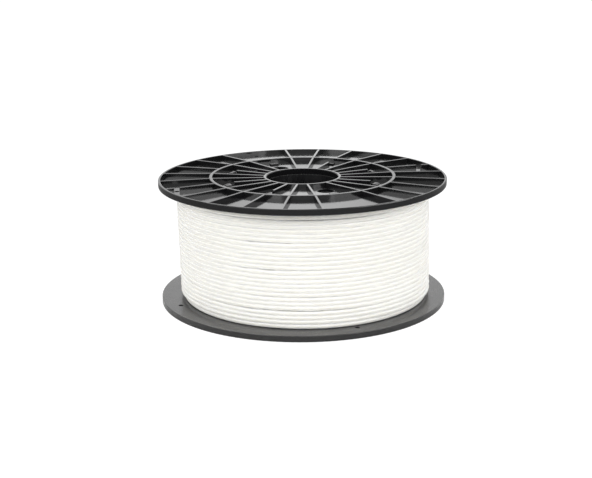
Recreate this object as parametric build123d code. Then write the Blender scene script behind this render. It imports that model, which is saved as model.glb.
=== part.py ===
from build123d import *
import math
import os

# Filament spool, 1 kg size: two equal ribbed flanges snapped onto a drum,
# a bore tube between their hubs, and one strand of filament wound on the drum.
# The spool stands on its lower flange. +Z is the spool's axis, and the origin is
# the middle of the surface that it stands on.
# Millimetres and degrees. Azimuths are measured from +X towards +Y.

# ---- flange disc -------------------------------------------------------------
flange_d = 200.0            # outside diameter of both flanges
spool_w = 87.0              # from one flange's rim plane to the other's
rim_h = 4.3                 # height of the rim's outer wall
rim_w = 1.5                 # width of the rim's land
rim_round = 0.45            # rounding of the rim's outer edges
plate_t = 1.55              # plate thickness at the rim and at the hub
crown = 0.7                 # the stacking ring's land above the rim plane
land_round = 0.3            # rounding of the other lands' edges

# ---- stacking ring, hub and ribs ---------------------------------------------
ring_offset = 9.2           # from the drum's outside to the middle of the stacking ring
ring_w = 2.2
bore_d = 50.0
bore_chamfer = 0.5
hub_wall = 2.0              # wall of the hub ring and of the bore tube
rib_slots = 24              # even spacing; a slot with a drive hole has no rib
rib_phase = 7.5             # azimuth of the first rib
rib_w = 1.7                 # at the land
rib_draft = 0.12            # how much wider each side is at the plate
rib_step = 0.06             # ribs stay this far below the ring, hub and rim lands

# ---- holes through the plate ---------------------------------------------------
drive_hole_d = 11.5
drive_hole_from_hub = 8.2   # clear plate between the hub ring and a drive hole
drive_hole_azimuth = 112.5
drive_hole_count = 2
end_hole_d = 3.4            # the filament's end is parked in one of these
end_hole_inset = 9.0        # from the flange's edge to the hole's middle
end_hole_azimuth = 22.5
end_hole_count = 4
end_hole_relief = 0.4       # ribs stop this far from an end hole's edge
hole_chamfer = 0.25

# ---- drum and its snap hooks ---------------------------------------------------
drum_d = 109.0
drum_wall = 2.0
hook_count = 8
hook_azimuth = 22.5
hook_w = 6.0                # along the drum's circumference
hook_root = 14.0            # free length of a hook below the drum's end
hook_slit = 1.2             # width of the slits beside a hook
barb_out = 1.6              # how far a barb reaches over the plate
barb_h = 0.9                # height of a barb
barb_edge = 0.3             # flat left at a barb's outer edge
latch_gap = 0.10            # between a barb and the plate
window_gap = 0.30           # round a hook where it passes through the plate
flex_room = 0.4             # beyond the barb, for the hook to bend inwards

# ---- seats on the flange's inner face -------------------------------------------
seat_gap = 0.15             # radial clearance of the drum and of the bore tube
key_wall = 1.7              # arc keys inside the drum
key_h = 2.4
key_to_window = 3.0         # along the circumference, from a key to a window
socket_wall = 1.6           # ring round the end of the bore tube
socket_h = 2.4
tube_end_gap = 0.10         # end play of the bore tube between the flanges

# ---- filament ---------------------------------------------------------------------
filament_d = 2.85
turn_pitch = 3.0            # from one turn to the next, across the drum
winding_inset = 13.0        # from the flange's edge to the outside of the winding
winding_side_gap = 0.25     # least room between the end turns and a flange
winding_drum_gap = 0.05

# ---- values that follow -------------------------------------------------------------
flange_r = flange_d / 2
bore_r = bore_d / 2
hub_r = bore_r + hub_wall
drum_r = drum_d / 2
drum_in_r = drum_r - drum_wall
ring_mid_r = drum_r + ring_offset
rim_in_r = flange_r - rim_w
rib_h = rim_h - plate_t
rib_pitch = 360.0 / rib_slots
rib_sink = 0.4 * plate_t

window_in_r = drum_in_r - barb_out - flex_room
window_out_r = drum_r + window_gap
drive_hole_r = hub_r + drive_hole_from_hub + drive_hole_d / 2
end_hole_r = flange_r - end_hole_inset

lower_rim_z = crown
upper_rim_z = crown + spool_w
lower_face_z = lower_rim_z + rim_h
upper_face_z = upper_rim_z - rim_h
inner_w = upper_face_z - lower_face_z

winding_r = flange_r - winding_inset
turn_count = int((inner_w - 2 * winding_side_gap - filament_d) / turn_pitch) + 1


def azimuths(first, count):
    """Evenly spaced azimuths over the full circle."""
    return [first + i * 360.0 / count for i in range(count)]


def apart(a, b):
    """The angle between two azimuths, 0 to 180."""
    return abs((a - b + 180.0) % 360.0 - 180.0)


def arc_angle(width, radius):
    """The angle that a width along the circumference takes at a radius."""
    return math.degrees(width / radius)


def crown_at(r):
    """Height of the lands over the rim plane: 0 at the rim and hub, highest at the ring."""
    if r < ring_mid_r:
        return crown * (r - hub_r) / (ring_mid_r - hub_r)
    return crown * (rim_in_r - r) / (rim_in_r - ring_mid_r)


def plate_at(r):
    """Height of the plate's outer surface over the rim plane."""
    return crown_at(r) - rib_h


def rounded(face, corners, radius):
    """The face with the corners nearest to the given points rounded."""
    picked = [min(face.vertices(), key=lambda v: (Vector(v) - Vector(*c, 0)).length)
              for c in corners]
    return fillet(picked, radius)


def turned(points, angle=360.0, azimuth=0.0):
    """A profile of (radius, height) points turned about the spool's axis.
    Less than a full turn is centred on the azimuth."""
    solid = revolve(Plane.XZ * make_face(Polyline(*points, close=True)), Axis.Z, angle)
    return Rot(0, 0, azimuth - angle / 2) * solid if angle < 360.0 else solid


def sector(r_in, r_out, z_low, z_high, width, azimuth):
    """A block between two radii, as wide as given along the outer radius."""
    corners = [(r_in, z_low), (r_out, z_low), (r_out, z_high), (r_in, z_high)]
    return turned(corners, arc_angle(width, r_out), azimuth)


def flange_disc():
    """Plate, hub ring, stacking ring and rim. The rim plane is z = 0 and +Z is outwards."""
    ring_in, ring_out = ring_mid_r - ring_w / 2, ring_mid_r + ring_w / 2
    points = [
        (bore_r, -rim_h), (flange_r, -rim_h), (flange_r, 0), (rim_in_r, 0),
        (rim_in_r, plate_at(rim_in_r)), (ring_out, plate_at(ring_out)),
        (ring_out, crown), (ring_in, crown),
        (ring_in, plate_at(ring_in)), (hub_r, plate_at(hub_r)),
        (hub_r, 0), (bore_r, 0),
    ]
    face = make_face(Polyline(*points, close=True))
    face = rounded(face, [(flange_r, -rim_h), (flange_r, 0)], rim_round)
    face = rounded(face, [(rim_in_r, 0), (ring_out, crown), (ring_in, crown), (hub_r, 0)],
                   min(land_round, 0.4 * min(ring_w, rim_w, hub_wall)))
    bore_edge = min((v for v in face.vertices()), key=lambda v: (Vector(v) - Vector(bore_r, 0)).length)
    face = chamfer([bore_edge], bore_chamfer)
    return revolve(Plane.XZ * face, Axis.Z)


def rib(r_from, r_to):
    """One straight rib along +X between two radii, with its top just under the crown."""
    half_top, half_foot = rib_w / 2, rib_w / 2 + rib_draft
    top = crown_at(r_from) - rib_step
    foot = top - rib_h - rib_sink
    section = make_face(Polyline((-half_foot, foot), (half_foot, foot), (half_top, top),
                                 (-half_top, top), close=True))
    section = rounded(section, [(half_top, top), (-half_top, top)], min(land_round, 0.4 * rib_w))
    across = Plane(origin=(r_from, 0, 0), x_dir=(0, 1, 0), z_dir=(1, 0, 0))
    rise = Vector(r_to - r_from, 0, crown_at(r_to) - crown_at(r_from))
    return extrude(across * section, rise.length, dir=rise.normalized())


def near(azimuth, others):
    """Whether an azimuth is within half a rib's spacing of one of the others."""
    return min(apart(azimuth, a) for a in others) < rib_pitch / 2


def inner_ribs():
    """Ribs from the hub ring to the stacking ring. At a hook they stop before its window."""
    ribs = []
    for azimuth in azimuths(rib_phase, rib_slots):
        if near(azimuth, azimuths(drive_hole_azimuth, drive_hole_count)):
            continue
        at_hook = near(azimuth, azimuths(hook_azimuth, hook_count))
        end = window_in_r - window_gap if at_hook else ring_mid_r - ring_w / 4
        ribs.append(Rot(0, 0, azimuth) * rib(hub_r - hub_wall / 4, end))
    return ribs


def outer_ribs():
    """Ribs from the stacking ring to the rim, broken where one meets an end hole."""
    ribs = []
    start, end = ring_mid_r + ring_w / 4, rim_in_r + rim_w / 4
    relief_r = end_hole_d / 2 + end_hole_relief
    for azimuth in azimuths(rib_phase, rib_slots):
        if near(azimuth, azimuths(drive_hole_azimuth, drive_hole_count)):
            continue
        if near(azimuth, azimuths(end_hole_azimuth, end_hole_count)):
            pieces = [rib(start, end_hole_r - relief_r), rib(end_hole_r + relief_r, end)]
        else:
            pieces = [rib(start, end)]
        ribs += [Rot(0, 0, azimuth) * piece for piece in pieces]
    return ribs


def flange_seats():
    """The socket for the bore tube and the arc keys for the drum, on the inner face."""
    socket_in = hub_r + seat_gap
    overlap = 0.5 * plate_t
    top = -rim_h + overlap
    socket = turned([(socket_in, -rim_h - socket_h), (socket_in + socket_wall, -rim_h - socket_h),
                     (socket_in + socket_wall, top), (socket_in, top)])
    key_out = drum_in_r - seat_gap
    window_span = arc_angle(hook_w + 2 * (window_gap + key_to_window), drum_r)
    key_span = 360.0 / hook_count - window_span
    key_points = [(key_out - key_wall, -rim_h - key_h), (key_out, -rim_h - key_h),
                  (key_out, top), (key_out - key_wall, top)]
    between = azimuths(hook_azimuth + 180.0 / hook_count, hook_count)
    return [socket] + [turned(key_points, key_span, a) for a in between]


def through_hole(diameter, radius, azimuth):
    """A cutter for a round hole through the plate, with a small lead-in on its outer edge."""
    top = plate_at(radius)
    shaft = Cylinder(diameter / 2, 4 * rim_h)
    lead = Pos(0, 0, top) * Cone(diameter / 2, diameter / 2 + 2 * hole_chamfer, 2 * hole_chamfer)
    return Rot(0, 0, azimuth) * Pos(radius, 0, 0) * (shaft + lead)


def flange():
    """One flange moulding, with its rim plane at z = 0 and its ribbed face upwards."""
    body = flange_disc()
    for group in (inner_ribs(), outer_ribs(), flange_seats()):
        body = body + group
    windows = [sector(window_in_r, window_out_r, -2 * rim_h, crown + rim_h,
                      hook_w + 2 * window_gap, a) for a in azimuths(hook_azimuth, hook_count)]
    holes = [through_hole(drive_hole_d, drive_hole_r, a)
             for a in azimuths(drive_hole_azimuth, drive_hole_count)]
    holes += [through_hole(end_hole_d, end_hole_r, a)
              for a in azimuths(end_hole_azimuth, end_hole_count)]
    return body - windows - holes


def hook(azimuth):
    """One snap hook of the drum's upper end, standing in its window with its barb over the plate."""
    barb_r = drum_r + barb_out
    under = upper_rim_z + max(plate_at(drum_r), plate_at(barb_r)) + latch_gap
    tip = under + barb_h
    points = [(drum_in_r, upper_face_z - hook_root), (drum_r, upper_face_z - hook_root),
              (drum_r, under), (barb_r, under), (barb_r, under + barb_edge),
              (drum_r, tip), (drum_in_r, tip)]
    return turned(points, arc_angle(hook_w, drum_r), azimuth)


def drum():
    """The drum's tube with a ring of snap hooks at both ends."""
    tube = turned([(drum_in_r, lower_face_z), (drum_r, lower_face_z),
                   (drum_r, upper_face_z), (drum_in_r, upper_face_z)])
    slot_w = hook_w + 2 * hook_slit
    middle = Plane.XY.offset((lower_face_z + upper_face_z) / 2)
    slots, hooks = [], []
    for azimuth in azimuths(hook_azimuth, hook_count):
        slot = sector(drum_in_r - drum_wall, drum_r + drum_wall, upper_face_z - hook_root,
                      upper_face_z + rim_h, slot_w, azimuth)
        slots += [slot, mirror(slot, about=middle)]
        snap = hook(azimuth)
        hooks += [snap, mirror(snap, about=middle)]
    return tube - slots + hooks


def bore_tube():
    """The tube between the two hubs, in line with their bores."""
    low, high = lower_face_z + tube_end_gap, upper_face_z - tube_end_gap
    return turned([(bore_r, low), (hub_r, low), (hub_r, high), (bore_r, high)])


def filament():
    """The wound filament as one closed body. Its outside shows each turn of the last layer."""
    turn_r = filament_d / 2
    centre_r = winding_r - turn_r
    inside_r = drum_r + winding_drum_gap
    middle_z = (lower_face_z + upper_face_z) / 2
    first_z = middle_z - (turn_count - 1) * turn_pitch / 2
    edges = []
    last = (centre_r, first_z - turn_r)
    edges.append(Line((inside_r, first_z - turn_r), last))
    for i in range(turn_count):
        z = first_z + i * turn_pitch
        start, end = (centre_r, z - turn_r), (centre_r, z + turn_r)
        if i > 0:
            edges.append(Line(last, start))
        edges.append(ThreePointArc(start, (winding_r, z), end))
        last = end
    edges.append(Line(last, (inside_r, last[1])))
    edges.append(Line((inside_r, last[1]), (inside_r, first_z - turn_r)))
    return revolve(Plane.XZ * make_face(edges), Axis.Z)


def build():
    """Every piece at its place, by node name."""
    moulding = flange()
    flip_axis = Axis((0, 0, 0), (math.cos(math.radians(end_hole_azimuth)),
                                 math.sin(math.radians(end_hole_azimuth)), 0))
    return {
        "upper_flange": Pos(0, 0, upper_rim_z) * moulding,
        "lower_flange": Pos(0, 0, lower_rim_z) * moulding.rotate(flip_axis, 180),
        "drum": drum(),
        "bore_tube": bore_tube(),
        "filament": filament(),
    }


os.makedirs("parts", exist_ok=True)
for name, piece in build().items():
    piece.label = name
    export_step(piece, f"parts/{name}.step")
    print(name, len(piece.solids()), "solid(s)", round(piece.volume, 1), "mm3")
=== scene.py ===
import math

import bpy
from bpy.props import (FloatProperty, FloatVectorProperty, IntProperty,
                       PointerProperty)
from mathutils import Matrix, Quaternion, Vector, noise


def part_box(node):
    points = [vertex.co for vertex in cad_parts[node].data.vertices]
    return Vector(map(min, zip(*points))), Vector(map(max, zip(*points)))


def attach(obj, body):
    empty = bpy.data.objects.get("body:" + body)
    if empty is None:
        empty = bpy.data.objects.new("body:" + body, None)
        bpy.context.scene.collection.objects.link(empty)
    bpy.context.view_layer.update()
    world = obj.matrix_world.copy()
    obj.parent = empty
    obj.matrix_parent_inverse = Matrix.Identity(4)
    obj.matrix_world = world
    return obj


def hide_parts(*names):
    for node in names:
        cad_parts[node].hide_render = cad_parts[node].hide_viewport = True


bl_info = {
    "name": "Filament Spool",
    "version": (1, 0, 0),
    "blender": (4, 5, 0),
    "location": "View3D > Sidebar > Spool",
    "description": "Dresses a filament spool's CAD pieces and winds its filament turn by turn",
    "category": "Object",
}

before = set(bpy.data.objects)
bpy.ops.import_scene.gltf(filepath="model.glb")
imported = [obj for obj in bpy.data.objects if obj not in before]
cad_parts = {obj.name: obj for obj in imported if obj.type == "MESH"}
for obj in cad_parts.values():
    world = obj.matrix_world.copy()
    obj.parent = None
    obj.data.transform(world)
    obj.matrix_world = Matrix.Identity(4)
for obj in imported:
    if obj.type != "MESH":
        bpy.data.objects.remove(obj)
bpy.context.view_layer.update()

# The winding's room, from the CAD nodes
WINDING_LOW, WINDING_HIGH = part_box("filament")
WINDING_RADIUS = WINDING_HIGH.x
DRUM_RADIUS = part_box("drum")[1].x
SPOOL_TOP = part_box("upper_flange")[1].z

STRAND_DIAMETER = 0.003     # the strand and the air beside it: the rings just touch
TURN_PITCH = 0.003
STEP_OVER = 0.07            # part of a turn in which the strand steps up to the next ring

OUTER_SIDES, UNDER_SIDES = 12, 8         # sides of the strand's cross-section, by layer
UNDER_STEPS = 96            # straight pieces in one turn of the layer under the outer one
BODY_STEPS = 128            # straight pieces round the body of the winding
OUTER_START, UNDER_START = 70.0, 110.0   # azimuths in degrees where the layers start and end
BODY_CLEARANCE = 0.0001     # room between the body of the winding and the CAD pieces
BODY_SINK = 0.2             # part of a strand by which the body stays inside the layer over it

# The winding isn't quite even: it stands out a little past its nominal radius, leans towards
# +X near the lower flange, and its lowest ring is drawn in at the sides
WINDING_SWELL = 0.0009
WINDING_LEAN = 0.0014
LOWEST_RING_IN = 0.0019

DEPTH_NAME = "depth_in_strand"   # 0 on the winding's outside, 1 on the strand's inner side

# How the rings stray, by a noise that is read along each of them
WANDER_WAVES = 1.9          # how fast the noise changes along a ring
WANDER_JUMP = 1.3           # how far it moves on from one ring to the next
SINK_WAVES = 1.7            # how much faster it changes where it draws a ring inwards
SINK_SPOT = Vector((7.0, 3.0, 1.0))      # the place that this second reading starts from
SINK_LEVEL = 0.45           # the level under which it draws a ring inwards
HEIGHT_SHARE = 0.3          # part of the wander that goes up and down

GAP_REACH = 3.0             # rings over which the shift beside a loose place dies out

# Places where the winder left two turns slightly apart: the turn below the gap,
# the azimuth in degrees, half its width in degrees, and the extra gap in metres
LOOSE_PLACES = (
    (24, -80.0, 60.0, 0.0002),
    (23, -112.0, 35.0, 0.0004),
    (22, -48.0, 30.0, 0.0003),
    (21, -115.0, 40.0, 0.0003),
    (18, -107.0, 24.0, 0.0007),
    (12, -107.0, 28.0, 0.0006),
    (6, -90.0, 45.0, 0.0004),
    (3, -97.0, 62.0, 0.0007),
    (15, 20.0, 45.0, 0.0005),
    (8, 95.0, 40.0, 0.0006),
    (21, 160.0, 30.0, 0.0005),
    (5, 200.0, 35.0, 0.0005),
)

# Where a ring has sunk between its neighbours: the ring, the azimuth in degrees,
# half its width in degrees, and the depth in metres
SUNK_PLACE = (24, -82.0, 50.0, 0.0009)

# Where the flanges' look changes: depths under the spool's ends where scuffs start and are
# full, and heights past the winding's ends where the look of the inner faces ends
SCUFF_START, SCUFF_FULL = 0.0006, 0.0001
FACE_END, FACE_GONE = 0.0005, 0.0006

FLOOR_DROP = 0.00005        # how far the floor lies under the ring that the spool stands on
PAPER_END = 0.28            # distance from the spool's axis where the paper starts to give way
FLOOR_START = 0.36          # and where the floor has taken over
GLOW_SHARE = 0.8            # part of the floor's look to the camera that is glow, not light
PAPER_GLOW, FLOOR_GLOW = 1.22, 1.3   # strength of that glow against white
RIGHT_BOX_GAIN = 1.25       # brightness of the right softbox against the left one's


# ---- settings ---------------------------------------------------------------

class SpoolFlangeSettings(bpy.types.PropertyGroup):
    colour: FloatVectorProperty(
        name="Colour", description="Colour of the flanges' moulded plastic",
        subtype="COLOR", size=3, min=0.0, max=1.0, default=(0.006, 0.006, 0.0065))
    roughness: FloatProperty(
        name="Roughness", description="How much the gloss of the flanges is blurred",
        subtype="FACTOR", min=0.0, max=1.0, default=0.11)
    ripple: FloatProperty(
        name="Ripple", description="Depth of the shallow sinks that the mould leaves in the plates",
        subtype="DISTANCE", unit="LENGTH", min=0.0, max=0.001, default=0.00012)
    # Pales the faces beside the winding: partly filament dust, partly a painted reflection of the
    # winding in them
    dust_and_reflection: FloatProperty(
        name="Dust", description="How much filament dust pales the faces beside the winding",
        subtype="FACTOR", min=0.0, max=1.0, default=0.06)


class SpoolCoreSettings(bpy.types.PropertyGroup):
    colour: FloatVectorProperty(
        name="Colour", description="Colour of the drum and the bore tube",
        subtype="COLOR", size=3, min=0.0, max=1.0, default=(0.006, 0.006, 0.0065))
    roughness: FloatProperty(
        name="Roughness", description="How matt the drum and the bore tube are",
        subtype="FACTOR", min=0.0, max=1.0, default=0.3)


class SpoolWindingSettings(bpy.types.PropertyGroup):
    colour: FloatVectorProperty(
        name="Colour", description="Colour of the filament",
        subtype="COLOR", size=3, min=0.0, max=1.0, default=(0.765, 0.752, 0.706))
    diameter: FloatProperty(
        name="Diameter", description="Diameter of the filament",
        subtype="DISTANCE", unit="LENGTH", min=0.001, max=0.003, default=STRAND_DIAMETER)
    pitch: FloatProperty(
        name="Pitch", description="Distance from one turn to the next along the spool's axis",
        subtype="DISTANCE", unit="LENGTH", min=0.001, max=0.006, default=TURN_PITCH)
    glow_depth: FloatProperty(
        name="Glow depth", description="How far light spreads inside the filament",
        subtype="DISTANCE", unit="LENGTH", min=0.0, max=0.02, default=0.003)
    steps: IntProperty(
        name="Steps", description="Straight pieces in one turn of the outer layer",
        min=24, max=160, default=128)
    wander: FloatProperty(
        name="Wander", description="How far a turn strays from its even place",
        subtype="DISTANCE", unit="LENGTH", min=0.0, max=0.001, default=0.00022)


class SpoolStageSettings(bpy.types.PropertyGroup):
    floor_size: FloatProperty(
        name="Floor size", description="Length of the floor's sides",
        subtype="DISTANCE", unit="LENGTH", min=2.0, max=20.0, default=10.0)
    paper_grey: FloatProperty(
        name="Paper", description="How pale the paper under the spool is",
        subtype="FACTOR", min=0.0, max=1.0, default=0.9)
    floor_grey: FloatProperty(
        name="Floor", description="How pale the floor beyond the paper is",
        subtype="FACTOR", min=0.0, max=1.0, default=0.3)
    box_light: FloatProperty(
        name="Softbox light", description="Brightness of the side softboxes' faces against white",
        min=0.0, max=40.0, default=3.72)
    fill_light: FloatProperty(
        name="Fill light", description="Brightness of the front softbox's face against white",
        min=0.0, max=40.0, default=1.25)
    backdrop_light: FloatProperty(
        name="Backdrop light", description="Brightness of the backdrop behind the spool against white",
        min=0.0, max=4.0, default=1.58)
    room_light: FloatProperty(
        name="Room light", description="Brightness of the room on the camera's side against white",
        min=0.0, max=4.0, default=0.24)


SETTINGS = (
    ("spool_flanges", SpoolFlangeSettings),
    ("spool_core", SpoolCoreSettings),
    ("spool_winding", SpoolWindingSettings),
    ("spool_stage", SpoolStageSettings),
)


# ---- node helpers -----------------------------------------------------------

class Nodes:
    """A short way to write a material's or the world's node tree."""

    def __init__(self, owner):
        owner.use_nodes = True
        self.tree = owner.node_tree

    def add(self, kind, **sockets):
        node = self.tree.nodes.new(kind)
        for name, value in sockets.items():
            setattr(node, name, value)
        return node

    def find(self, kind):
        return next(n for n in self.tree.nodes if n.bl_idname == kind)

    def link(self, start, end):
        self.tree.links.new(start, end)

    def place(self, scale=(1.0, 1.0, 1.0)):
        """Object coordinates, stretched by a Mapping node."""
        coordinate = self.add("ShaderNodeTexCoord")
        mapping = self.add("ShaderNodeMapping")
        mapping.inputs["Scale"].default_value = scale
        self.link(coordinate.outputs["Object"], mapping.inputs["Vector"])
        return mapping.outputs["Vector"]

    def noise(self, vector, scale, detail=2.0, roughness=0.5):
        node = self.add("ShaderNodeTexNoise")
        node.inputs["Scale"].default_value = scale
        node.inputs["Detail"].default_value = detail
        node.inputs["Roughness"].default_value = roughness
        self.link(vector, node.inputs["Vector"])
        return node.outputs["Fac"]

    def spread(self, value, low, high, to_low=0.0, to_high=1.0, smooth=False):
        """The value mapped from one range to another, and held inside it."""
        node = self.add("ShaderNodeMapRange")
        node.interpolation_type = "SMOOTHSTEP" if smooth else "LINEAR"
        for name, number in (("From Min", low), ("From Max", high),
                             ("To Min", to_low), ("To Max", to_high)):
            node.inputs[name].default_value = number
        self.link(value, node.inputs["Value"])
        return node.outputs["Result"]

    def maths(self, operation, first, second=None):
        node = self.add("ShaderNodeMath", operation=operation)
        for socket, value in zip(node.inputs, (first, second)):
            if isinstance(value, (int, float)):
                socket.default_value = value
            elif value is not None:
                self.link(value, socket)
        return node.outputs["Value"]

    def tint(self, factor, first, second):
        """A colour between two, by a factor. Each one is a colour or another node's output."""
        node = self.add("ShaderNodeMix", data_type="RGBA")
        for socket, colour in zip(node.inputs[6:8], (first, second)):
            if isinstance(colour, tuple):
                socket.default_value = (*colour, 1.0)
            else:
                self.link(colour, socket)
        self.link(factor, node.inputs[0])
        return node.outputs[2]

    def bump(self, height, distance, strength=1.0, under=None):
        node = self.add("ShaderNodeBump")
        node.inputs["Strength"].default_value = strength
        node.inputs["Distance"].default_value = distance
        self.link(height, node.inputs["Height"])
        if under is not None:
            self.link(under, node.inputs["Normal"])
        return node.outputs["Normal"]


def plastic(name, ior):
    """A new material, its nodes and its Principled shader."""
    material = bpy.data.materials.new(name)
    nodes = Nodes(material)
    shader = nodes.find("ShaderNodeBsdfPrincipled")
    shader.inputs["IOR"].default_value = ior
    return material, nodes, shader


def give(node_name, material):
    """Puts a material on a CAD node."""
    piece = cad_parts[node_name]
    for slot in piece.material_slots:
        slot.material = material


# ---- materials --------------------------------------------------------------

def moulded_gloss(settings):
    """Glossy black moulding: shallow sinks, fine haze, scuffs on the lands that it stands on,
    and a paler grey on the faces beside the winding, partly filament dust and partly a painted
    reflection of the winding."""
    material, nodes, shader = plastic("moulded_gloss_black", ior=1.58)
    at = nodes.place()
    along = nodes.place((1.0, 1.0, 0.2))
    dark = tuple(settings.colour)

    haze = nodes.noise(at, scale=520.0, detail=3.0, roughness=0.6)
    patches = nodes.noise(at, scale=38.0)
    height = nodes.add("ShaderNodeSeparateXYZ")
    coordinate = nodes.add("ShaderNodeTexCoord")
    nodes.link(coordinate.outputs["Object"], height.inputs["Vector"])
    from_middle = nodes.maths("ABSOLUTE", nodes.maths(
        "SUBTRACT", height.outputs["Z"], SPOOL_TOP / 2))
    land = nodes.spread(from_middle, SPOOL_TOP / 2 - SCUFF_START, SPOOL_TOP / 2 - SCUFF_FULL)
    hairs = nodes.noise(nodes.place((1.0, 14.0, 1.0)), scale=260.0)
    hairs = nodes.spread(hairs, 0.62, 0.70)
    scuffs = nodes.maths("MULTIPLY", land, nodes.spread(haze, 0.42, 0.66))
    half_winding = (WINDING_HIGH.z - WINDING_LOW.z) / 2
    inner_face = nodes.spread(from_middle, half_winding + FACE_END, half_winding + FACE_GONE,
                              1.0, 0.0)

    rough = nodes.spread(patches, 0.3, 0.7, settings.roughness * 0.85, settings.roughness * 1.2)
    for mark, blur in ((scuffs, 0.16), (hairs, 0.03), (inner_face, 0.13)):
        rough = nodes.maths("ADD", rough, nodes.maths("MULTIPLY", mark, blur))
    nodes.link(rough, shader.inputs["Roughness"])

    worn = tuple(min(1.0, c * 1.5 + 0.003) for c in dark)
    # Painted reflection: the faces beside the winding get a paler grey, partly for filament dust and
    # partly for the winding's reflection in them
    dust_and_reflection_tone = tuple(min(1.0, c + settings.dust_and_reflection) for c in dark)
    dust_and_reflection = nodes.maths("MULTIPLY", inner_face, nodes.spread(patches, 0.35, 0.65, 0.6, 1.0))
    nodes.link(nodes.tint(dust_and_reflection, nodes.tint(scuffs, dark, worn), dust_and_reflection_tone), shader.inputs["Base Color"])

    sinks = nodes.noise(along, scale=26.0, detail=1.0, roughness=0.4)
    sinks = nodes.bump(sinks, settings.ripple, strength=0.5)
    nodes.link(nodes.bump(haze, 0.000004, strength=0.6, under=sinks), shader.inputs["Normal"])
    return material


def moulded_satin(settings):
    """Satin black moulding with a fine sparked texture and draw marks along the axis."""
    material, nodes, shader = plastic("moulded_satin_black", ior=1.54)
    at = nodes.place()
    grain = nodes.noise(at, scale=1400.0, roughness=0.55)
    draw = nodes.noise(nodes.place((1.0, 1.0, 0.04)), scale=420.0)
    dark = tuple(settings.colour)
    light = tuple(c * 1.5 for c in dark)
    nodes.link(nodes.tint(nodes.noise(at, scale=60.0), dark, light), shader.inputs["Base Color"])
    nodes.link(nodes.spread(draw, 0.3, 0.7, settings.roughness * 0.85, settings.roughness * 1.15),
               shader.inputs["Roughness"])
    lines = nodes.bump(draw, 0.00002, strength=0.5)
    nodes.link(nodes.bump(grain, 0.000015, strength=0.6, under=lines), shader.inputs["Normal"])
    return material


def filament_plastic(settings):
    """White extruded strand: smooth, a little translucent, with a slight change of tone by the
    turn. Light that seeps through the strands keeps the grooves pale, so the tint is lighter
    there."""
    material, nodes, shader = plastic("filament_white", ior=1.5)
    white = tuple(settings.colour)
    shade = tuple(c * f for c, f in zip(white, (0.972, 0.968, 0.955)))
    # Painted light: deeper into the strand the tint turns paler, for light that seeps through the
    # strands into the grooves
    painted_groove_light = tuple(min(1.0, 1.3 * c) for c in white)
    by_turn = nodes.noise(nodes.place((4.0, 4.0, 160.0)), scale=1.0, detail=1.0)
    turn_tone = nodes.tint(nodes.spread(by_turn, 0.35, 0.65), shade, white)
    depth = nodes.add("ShaderNodeAttribute", attribute_name=DEPTH_NAME)
    painted_groove_light_mask = nodes.spread(depth.outputs["Fac"], 0.0, 0.15)
    nodes.link(nodes.tint(painted_groove_light_mask, turn_tone, painted_groove_light), shader.inputs["Base Color"])
    nodes.link(nodes.spread(nodes.noise(nodes.place(), scale=700.0), 0.3, 0.7, 0.46, 0.58),
               shader.inputs["Roughness"])
    shader.inputs["Specular IOR Level"].default_value = 0.2
    shader.inputs["Subsurface Weight"].default_value = 0.85
    shader.inputs["Subsurface Radius"].default_value = (1.0, 0.97, 0.9)
    shader.inputs["Subsurface Scale"].default_value = settings.glow_depth
    die_lines = nodes.noise(nodes.place((1.0, 1.0, 9.0)), scale=380.0)
    nodes.link(nodes.bump(die_lines, 0.00001, strength=0.5), shader.inputs["Normal"])
    return material


# ---- mesh helpers -----------------------------------------------------------

def deselect():
    if bpy.context.object and bpy.context.object.mode != "OBJECT":
        bpy.ops.object.mode_set(mode="OBJECT")
    bpy.ops.object.select_all(action="DESELECT")


def apply_place(piece):
    """Moves the piece's place, turn and scale into its mesh."""
    deselect()
    piece.select_set(True)
    bpy.context.view_layer.objects.active = piece
    bpy.ops.object.transform_apply(location=True, rotation=True, scale=True)


def apply_modifiers(piece):
    bpy.context.view_layer.objects.active = piece
    for modifier in list(piece.modifiers):
        bpy.ops.object.modifier_apply(modifier=modifier.name)


def close_and_turn_out(piece):
    """Merges doubles, closes the open ends and turns all faces outwards."""
    deselect()
    piece.select_set(True)
    bpy.context.view_layer.objects.active = piece
    bpy.ops.object.mode_set(mode="EDIT")
    bpy.ops.mesh.select_all(action="SELECT")
    bpy.ops.mesh.remove_doubles(threshold=1e-7)
    bpy.ops.mesh.select_all(action="DESELECT")
    bpy.ops.mesh.select_non_manifold(extend=False)
    bpy.ops.mesh.fill_holes(sides=0)
    bpy.ops.mesh.select_all(action="SELECT")
    bpy.ops.mesh.normals_make_consistent(inside=False)
    bpy.ops.object.mode_set(mode="OBJECT")


def swept(profile, angle, rise, steps, closed):
    """Sweeps the active outline about the Z axis with a Screw modifier."""
    screw = profile.modifiers.new("Sweep", "SCREW")
    screw.axis = "Z"
    screw.angle = angle
    screw.screw_offset = rise
    screw.steps = screw.render_steps = steps
    screw.use_merge_vertices = closed
    screw.use_smooth_shade = True
    apply_modifiers(profile)
    close_and_turn_out(profile)


def ease(part):
    """A smooth way from 0 to 1."""
    part = min(max(part, 0.0), 1.0)
    return part * part * (3.0 - 2.0 * part)


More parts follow.
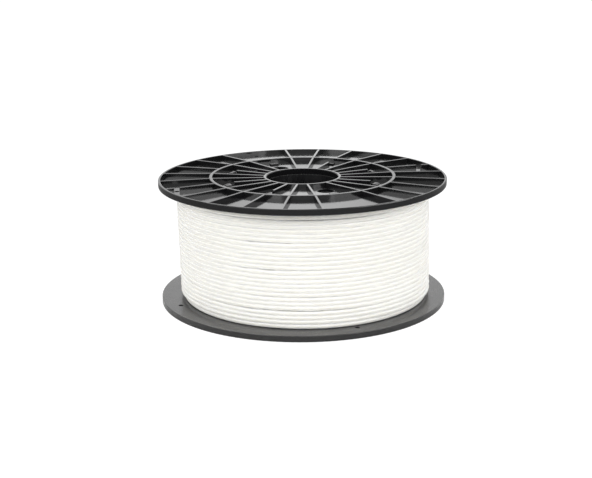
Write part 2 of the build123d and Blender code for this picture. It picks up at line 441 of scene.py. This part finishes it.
def strand(name, radius, first_z, rings, pitch, thickness, steps, sides, start):
    """A strand wound in rings about the Z axis, one ring on the next. Each ring lies level
    and steps up to the next one just before the azimuth that the first one starts at. Both
    ends of the strand go down into the layer below."""
    turns = rings + STEP_OVER
    deselect()
    bpy.ops.mesh.primitive_circle_add(
        vertices=sides, radius=thickness / 2, fill_type="NOTHING",
        location=(radius, 0.0, first_z - pitch * STEP_OVER), rotation=(math.pi / 2, 0.0, 0.0))
    piece = bpy.context.object
    piece.name = name
    apply_place(piece)
    swept(piece, 2 * math.pi * turns, pitch * turns, round(steps * turns), False)
    piece.rotation_euler.z = -2 * math.pi * STEP_OVER
    apply_place(piece)
    depth = piece.data.attributes.new(DEPTH_NAME, "FLOAT", "POINT")
    for vertex in piece.data.vertices:
        inwards = radius + thickness / 2 - vertex.co.xy.length
        depth.data[vertex.index].value = inwards / thickness
        turn, ring = turn_of(vertex.co, first_z, pitch, rings)
        down = ease(-turn / STEP_OVER) + ease((turn - rings) / STEP_OVER + 1.0)
        vertex.co.xy *= 1.0 - down * thickness / radius
        vertex.co.z += pitch * (ring - turn)
    piece.rotation_euler.z = math.radians(start)
    apply_place(piece)
    return piece


def turn_of(point, first_z, pitch, rings):
    """How many turns up an even helix a point of it is, and the ring that it belongs on."""
    part = (math.atan2(point.y, point.x) / (2 * math.pi)) % 1.0
    whole = round((point.z - first_z) / pitch - part)
    ring = whole + ease((part - 1.0) / STEP_OVER + 1.0)
    return whole + part, min(max(ring, 0.0), rings - 1.0)


def opening_at(ring, azimuth):
    """How far the loose places lift or lower a ring: those above go up, those below go down."""
    shift = 0.0
    for below, middle, half_width, gap in LOOSE_PLACES:
        away = abs((azimuth - middle + 180.0) % 360.0 - 180.0) / half_width
        if away < 1.0:
            rings_off = ring - below - 0.5
            fade = max(0.0, 1.0 - (abs(rings_off) - 0.5) / GAP_REACH)
            shift += math.copysign(0.5, rings_off) * gap * fade * (1.0 - away * away) ** 2
    return shift


def stand_out(ring, azimuth):
    """How far a ring of the winding stands out past the even radius."""
    height = ring * TURN_PITCH
    lean = WINDING_LEAN * (1.0 - height / (WINDING_HIGH.z - WINDING_LOW.z))
    drawn_in = LOWEST_RING_IN * math.cos(azimuth) ** 2 if ring == 0 else 0.0
    sunk_ring, middle, half_width, depth = SUNK_PLACE
    away = abs((math.degrees(azimuth) - middle + 180.0) % 360.0 - 180.0) / half_width
    if ring == sunk_ring and away < 1.0:
        drawn_in += depth * (1.0 - away * away) ** 2
    return WINDING_SWELL + lean * math.cos(azimuth) - drawn_in


def swell(piece, first_z, pitch):
    """Moves each ring out or in to follow the winding's uneven outside."""
    for vertex in piece.data.vertices:
        ring = round((vertex.co.z - first_z) / pitch)
        outwards = stand_out(ring, math.atan2(vertex.co.y, vertex.co.x))
        vertex.co.xy *= 1.0 + outwards / vertex.co.xy.length


def unsettle(piece, first_z, pitch, wander, low, high):
    """Lets the rings stray a little, up and down and inwards, opens the loose places,
    and keeps the strand between the flanges."""
    for vertex in piece.data.vertices:
        angle = math.atan2(vertex.co.y, vertex.co.x)
        ring = (vertex.co.z - first_z) / pitch
        spot = Vector((WANDER_WAVES * math.cos(angle), WANDER_WAVES * math.sin(angle),
                       WANDER_JUMP * round(ring)))
        outwards = Vector((math.cos(angle), math.sin(angle), 0.0))
        sink = wander * (noise.noise(spot * SINK_WAVES + SINK_SPOT) - SINK_LEVEL)
        vertex.co += outwards * min(0.0, sink)
        vertex.co.z += HEIGHT_SHARE * wander * noise.noise(spot)
        vertex.co.z += opening_at(round(ring), math.degrees(angle))
        vertex.co.z = min(max(vertex.co.z, low), high)


def ring_body(name, inner, outer, low, high, steps):
    """A plain ring about the Z axis: a rectangle swept once round."""
    deselect()
    bpy.ops.mesh.primitive_plane_add(
        size=1.0, location=((inner + outer) / 2, 0.0, (low + high) / 2),
        rotation=(math.pi / 2, 0.0, 0.0))
    piece = bpy.context.object
    piece.name = name
    piece.scale = (outer - inner, high - low, 1.0)
    apply_place(piece)
    bpy.ops.object.mode_set(mode="EDIT")
    bpy.ops.mesh.select_all(action="SELECT")
    bpy.ops.mesh.delete(type="ONLY_FACE")
    bpy.ops.object.mode_set(mode="OBJECT")
    swept(piece, 2 * math.pi, 0.0, steps, True)
    bpy.ops.object.shade_smooth_by_angle(angle=math.radians(40.0))
    return piece


# ---- operators --------------------------------------------------------------

class SPOOL_OT_dress_flanges(bpy.types.Operator):
    """Gives both flanges their glossy moulded plastic"""
    bl_idname = "spool.dress_flanges"
    bl_label = "Dress Flanges"

    def execute(self, context):
        material = moulded_gloss(context.scene.spool_flanges)
        for name in ("upper_flange", "lower_flange"):
            give(name, material)
        return {"FINISHED"}


class SPOOL_OT_dress_core(bpy.types.Operator):
    """Gives the drum and the bore tube their satin moulded plastic"""
    bl_idname = "spool.dress_core"
    bl_label = "Dress Drum and Bore Tube"

    def execute(self, context):
        material = moulded_satin(context.scene.spool_core)
        for name in ("drum", "bore_tube"):
            give(name, material)
        return {"FINISHED"}


class SPOOL_OT_wind_filament(bpy.types.Operator):
    """Winds the outer layer, the layer under it, and the body of the winding"""
    bl_idname = "spool.wind_filament"
    bl_label = "Wind Filament"

    def execute(self, context):
        settings = context.scene.spool_winding
        thickness, pitch = settings.diameter, settings.pitch
        low, high = WINDING_LOW.z, WINDING_HIGH.z
        rings = round((high - low) / pitch)
        first_z = (low + high) / 2 - (rings - 1) * pitch / 2
        outer_radius = WINDING_RADIUS - thickness / 2
        under_radius = outer_radius - math.sqrt(thickness ** 2 - (pitch / 2) ** 2)

        outer = strand("filament_outer_layer", outer_radius, first_z, rings, pitch,
                       thickness, settings.steps, OUTER_SIDES, OUTER_START)
        swell(outer, first_z, pitch)
        unsettle(outer, first_z, pitch, settings.wander, low, high)
        under = strand("filament_under_layer", under_radius, first_z + pitch / 2, rings - 1,
                       pitch, thickness, UNDER_STEPS, UNDER_SIDES, UNDER_START)
        swell(under, first_z + pitch / 2, pitch)
        deeper = ring_body("filament_deeper_layers", DRUM_RADIUS + BODY_CLEARANCE,
                           under_radius - BODY_SINK * thickness,
                           low + BODY_CLEARANCE, high - BODY_CLEARANCE, BODY_STEPS)

        material = filament_plastic(settings)
        for piece in (outer, under, deeper):
            piece.data.materials.append(material)
            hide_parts("filament")
            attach(piece, "root")
        return {"FINISHED"}


class SPOOL_OT_set_stage(bpy.types.Operator):
    """Sets the paper and the floor, the surroundings, the three softboxes and the camera"""
    bl_idname = "spool.set_stage"
    bl_label = "Set Stage"

    def execute(self, context):
        settings = context.scene.spool_stage
        self.lay_floor(settings)
        self.light_room(context, settings)
        self.hang_softbox("softbox_right", azimuth=-36.0, elevation=24.0, distance=1.5,
                          width=1.15, height=0.75, brightness=RIGHT_BOX_GAIN * settings.box_light)
        self.hang_softbox("softbox_left", azimuth=-141.0, elevation=24.0, distance=1.5,
                          width=1.50, height=0.75, brightness=settings.box_light)
        self.hang_softbox("softbox_front", azimuth=-90.0, elevation=17.0, distance=1.6,
                          width=2.4, height=0.9, brightness=settings.fill_light)
        self.place_camera(context)
        context.scene.view_settings.view_transform = "Standard"
        return {"FINISHED"}

    def lay_floor(self, settings):
        """Pale paper under the spool and darker floor beyond it. To the camera both glow,
        so that they look white and only the spool's shadow shows."""
        deselect()
        bpy.ops.mesh.primitive_plane_add(size=settings.floor_size,
                                         location=(0.0, 0.0, -FLOOR_DROP))
        floor = bpy.context.object
        floor.name = "floor"
        material = bpy.data.materials.new("floor_paper")
        nodes = Nodes(material)
        shader = nodes.find("ShaderNodeBsdfPrincipled")
        away = nodes.add("ShaderNodeVectorMath", operation="LENGTH")
        nodes.link(nodes.place(), away.inputs[0])
        past_paper = nodes.spread(away.outputs["Value"], PAPER_END, FLOOR_START, smooth=True)
        nodes.link(nodes.tint(past_paper, (settings.paper_grey,) * 3, (settings.floor_grey,) * 3),
                   shader.inputs["Base Color"])
        shader.inputs["Roughness"].default_value = 0.9
        shader.inputs["Specular IOR Level"].default_value = 0.0
        output = nodes.find("ShaderNodeOutputMaterial")
        glow = nodes.add("ShaderNodeEmission")
        nodes.link(nodes.spread(past_paper, 0.0, 1.0, PAPER_GLOW, FLOOR_GLOW), glow.inputs["Strength"])
        path = nodes.add("ShaderNodeLightPath")
        blend = nodes.add("ShaderNodeMixShader")
        nodes.link(nodes.maths("MULTIPLY", path.outputs["Is Camera Ray"], GLOW_SHARE),
                   blend.inputs[0])
        nodes.link(shader.outputs[0], blend.inputs[1])
        nodes.link(glow.outputs[0], blend.inputs[2])
        nodes.link(blend.outputs[0], output.inputs["Surface"])
        floor.data.materials.append(material)

    def light_room(self, context, settings):
        """White to the camera. To the spool, a backdrop with a brighter strip in its middle,
        which fades to a dimmer room forwards and overhead."""
        world = bpy.data.worlds.new("studio")
        context.scene.world = world
        nodes = Nodes(world)
        output = nodes.find("ShaderNodeOutputWorld")
        surroundings = nodes.find("ShaderNodeBackground")
        surroundings.inputs["Color"].default_value = (1.0, 1.0, 1.0, 1.0)
        coordinate = nodes.add("ShaderNodeTexCoord")
        direction = nodes.add("ShaderNodeSeparateXYZ")
        nodes.link(coordinate.outputs["Generated"], direction.inputs["Vector"])
        back = nodes.spread(direction.outputs["Y"], -0.25, 0.55,
                            settings.room_light, settings.backdrop_light, smooth=True)
        up = nodes.spread(direction.outputs["Z"], 0.35, 1.0, 1.0, 0.6, smooth=True)
        aside = nodes.spread(nodes.maths("ABSOLUTE", direction.outputs["X"]),
                             0.015, 0.11, 1.0, 0.64, smooth=True)
        nodes.link(nodes.maths("MULTIPLY", nodes.maths("MULTIPLY", back, up), aside),
                   surroundings.inputs["Strength"])
        white = nodes.add("ShaderNodeBackground")
        white.inputs["Color"].default_value = (1.0, 1.0, 1.0, 1.0)
        white.inputs["Strength"].default_value = 1.0
        path = nodes.add("ShaderNodeLightPath")
        blend = nodes.add("ShaderNodeMixShader")
        nodes.link(path.outputs["Is Camera Ray"], blend.inputs[0])
        nodes.link(surroundings.outputs[0], blend.inputs[1])
        nodes.link(white.outputs[0], blend.inputs[2])
        nodes.link(blend.outputs[0], output.inputs["Surface"])

    def hang_softbox(self, name, azimuth, elevation, distance, width, height, brightness):
        """A softbox that faces the spool. Its face is as bright as asked, whatever its size."""
        lamp = bpy.data.lights.new(name, "AREA")
        lamp.shape = "RECTANGLE"
        lamp.size, lamp.size_y = width, height
        lamp.energy = brightness * math.pi * width * height
        box = bpy.data.objects.new(name, lamp)
        bpy.context.collection.objects.link(box)
        a, e = math.radians(azimuth), math.radians(elevation)
        aim = Vector((0.0, 0.0, 0.05))
        box.location = aim + distance * Vector(
            (math.cos(a) * math.cos(e), math.sin(a) * math.cos(e), math.sin(e)))
        box.rotation_mode = "QUATERNION"
        box.rotation_quaternion = (aim - box.location).to_track_quat("-Z", "Y")
        box.visible_camera = False

    def place_camera(self, context):
        camera = bpy.data.cameras.new("camera")
        camera.sensor_width = 36.0
        camera.sensor_fit = "HORIZONTAL"
        camera.lens = 73.995
        holder = bpy.data.objects.new("camera", camera)
        bpy.context.collection.objects.link(holder)
        pitch, pan, roll = 0.2615123, -0.00579891, -0.01018336
        forward = Vector((math.cos(pitch) * math.sin(pan),
                          math.cos(pitch) * math.cos(pan), -math.sin(pitch)))
        holder.rotation_mode = "QUATERNION"
        holder.rotation_quaternion = (forward.to_track_quat("-Z", "Y")
                                      @ Quaternion((0.0, 0.0, 1.0), roll))
        holder.location = (0.0, -0.830071, 0.264337)
        context.scene.camera = holder


OPERATORS = (SPOOL_OT_dress_flanges, SPOOL_OT_dress_core,
             SPOOL_OT_wind_filament, SPOOL_OT_set_stage)


class SPOOL_PT_panel(bpy.types.Panel):
    """Lists the spool's settings, each group with the button that uses it"""
    bl_idname = "SPOOL_PT_panel"
    bl_label = "Filament Spool"
    bl_space_type = "VIEW_3D"
    bl_region_type = "UI"
    bl_category = "Spool"

    def draw(self, context):
        for (name, group), operator in zip(SETTINGS, OPERATORS):
            settings = getattr(context.scene, name)
            column = self.layout.box().column()
            for prop in group.__annotations__:
                column.prop(settings, prop)
            column.operator(operator.bl_idname)


def register():
    for name, group in SETTINGS:
        bpy.utils.register_class(group)
        setattr(bpy.types.Scene, name, PointerProperty(type=group))
    for operator in OPERATORS:
        bpy.utils.register_class(operator)
    bpy.utils.register_class(SPOOL_PT_panel)


def unregister():
    bpy.utils.unregister_class(SPOOL_PT_panel)
    for operator in reversed(OPERATORS):
        bpy.utils.unregister_class(operator)
    for name, group in reversed(SETTINGS):
        delattr(bpy.types.Scene, name)
        bpy.utils.unregister_class(group)


def main():
    register()
    bpy.ops.spool.set_stage()
    bpy.ops.spool.dress_flanges()
    bpy.ops.spool.dress_core()
    bpy.ops.spool.wind_filament()


if __name__ == "__main__":
    main()
